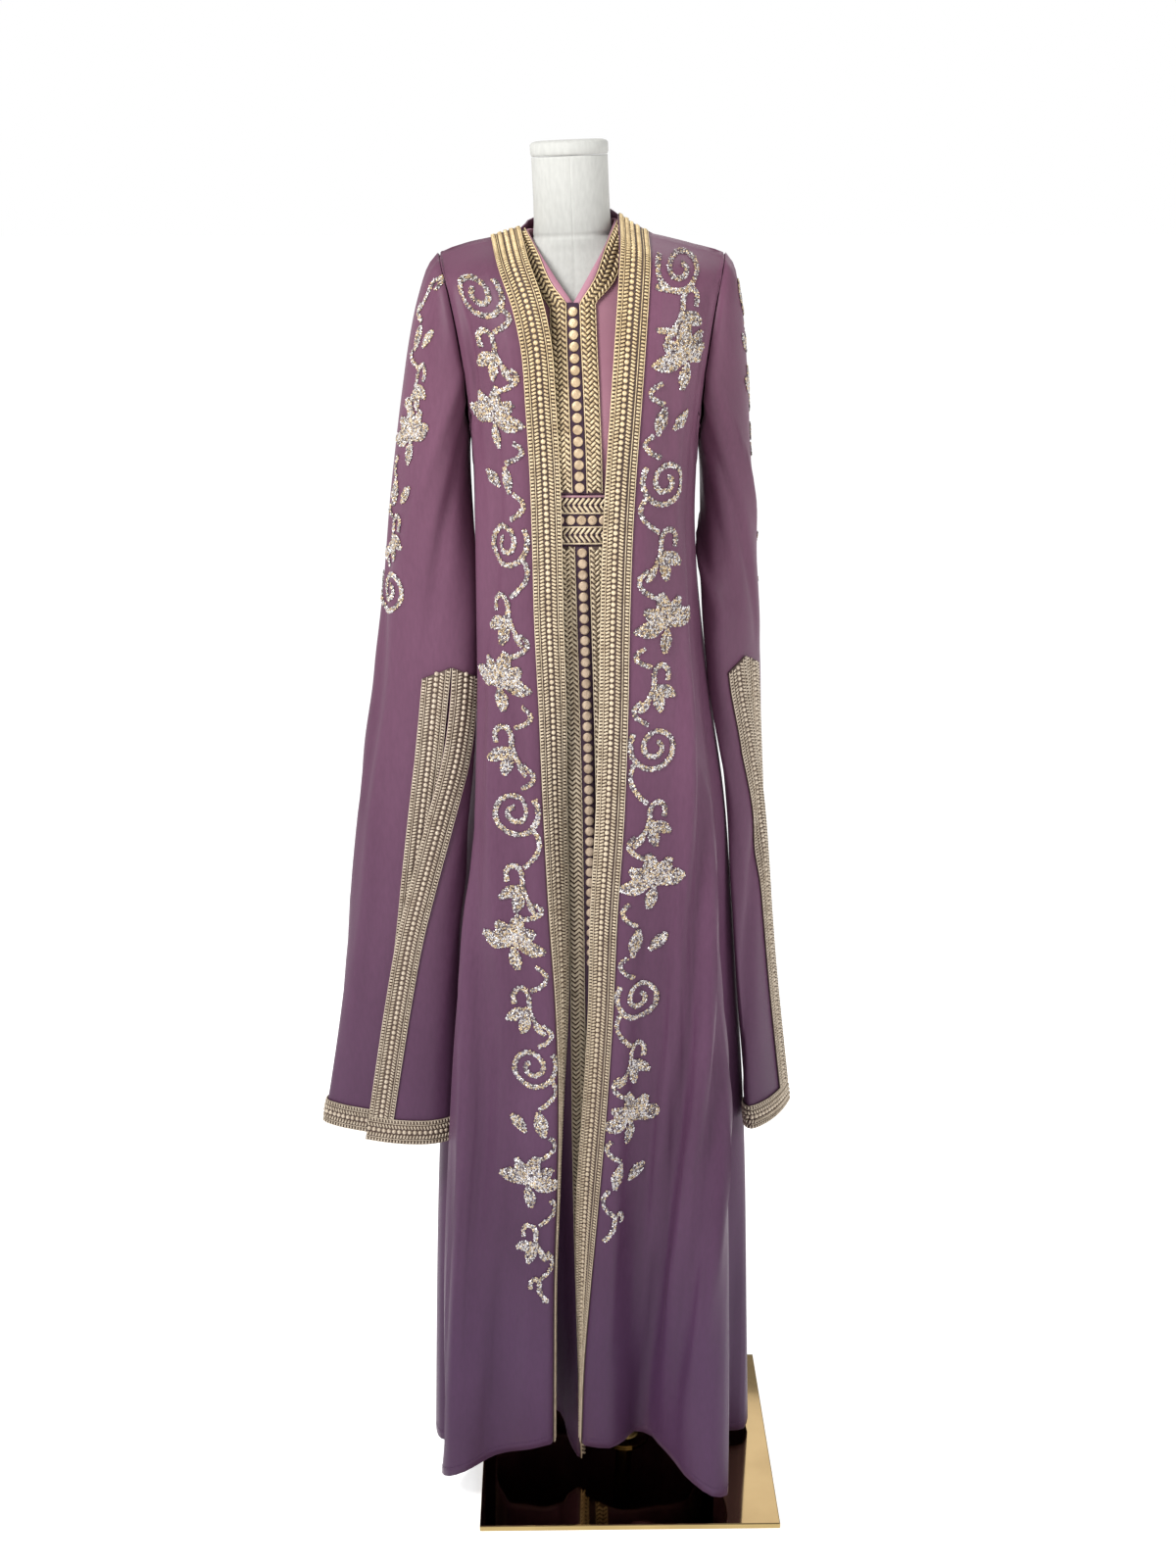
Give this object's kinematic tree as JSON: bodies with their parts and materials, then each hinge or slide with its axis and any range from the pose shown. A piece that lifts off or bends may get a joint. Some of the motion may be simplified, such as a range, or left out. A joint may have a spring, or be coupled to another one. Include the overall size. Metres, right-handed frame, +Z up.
{
  "type": "belted kaftan on a dress form stand",
  "caption": "Open long coat with slit sleeves and braid trims over a belted, button-front dress, worn by a limbless dress form on a pole and square plate.",
  "frame": {"origin": "middle of the stand plate's underside, on the floor", "axes": "+Z up, the garment's front faces -Y, +X to the right of someone who looks at the front"},
  "size_m": [0.6177, 0.389, 1.718],
  "materials": {
    "satin": "soft sheen",
    "dress_satin": "satin",
    "gold_braid": "metallic thread",
    "dark_placket": "matte",
    "linen": "matte linen",
    "brass": "polished",
    "dark_mirror": "bronze-tinted mirror polish"
  },
  "bodies": {
    "root": {"belt": "gold_braid", "braid_lower_left": "gold_braid", "braid_lower_right": "gold_braid", "braid_upper_left": "gold_braid", "braid_upper_right": "gold_braid", "coat_back": "satin", "coat_front_left": "satin", "coat_front_right": "satin", "coat_trim_left": "gold_braid", "coat_trim_right": "gold_braid", "cuff_band_left": "gold_braid", "cuff_band_right": "gold_braid", "dress_back": "dress_satin", "dress_front_left": "dress_satin", "dress_front_right": "dress_satin", "form_neck_cap": "linen", "form_torso": "linen", "placket_lower": "dark_placket", "placket_upper": "dark_placket", "sleeve_left": "satin", "sleeve_right": "satin", "slit_band_left_inner": "gold_braid", "slit_band_left_outer": "gold_braid", "slit_band_right_inner": "gold_braid", "slit_band_right_outer": "gold_braid", "stand_flange": "brass", "stand_plate": "dark_mirror", "stand_pole": "brass"}
  },
  "joints": []
}
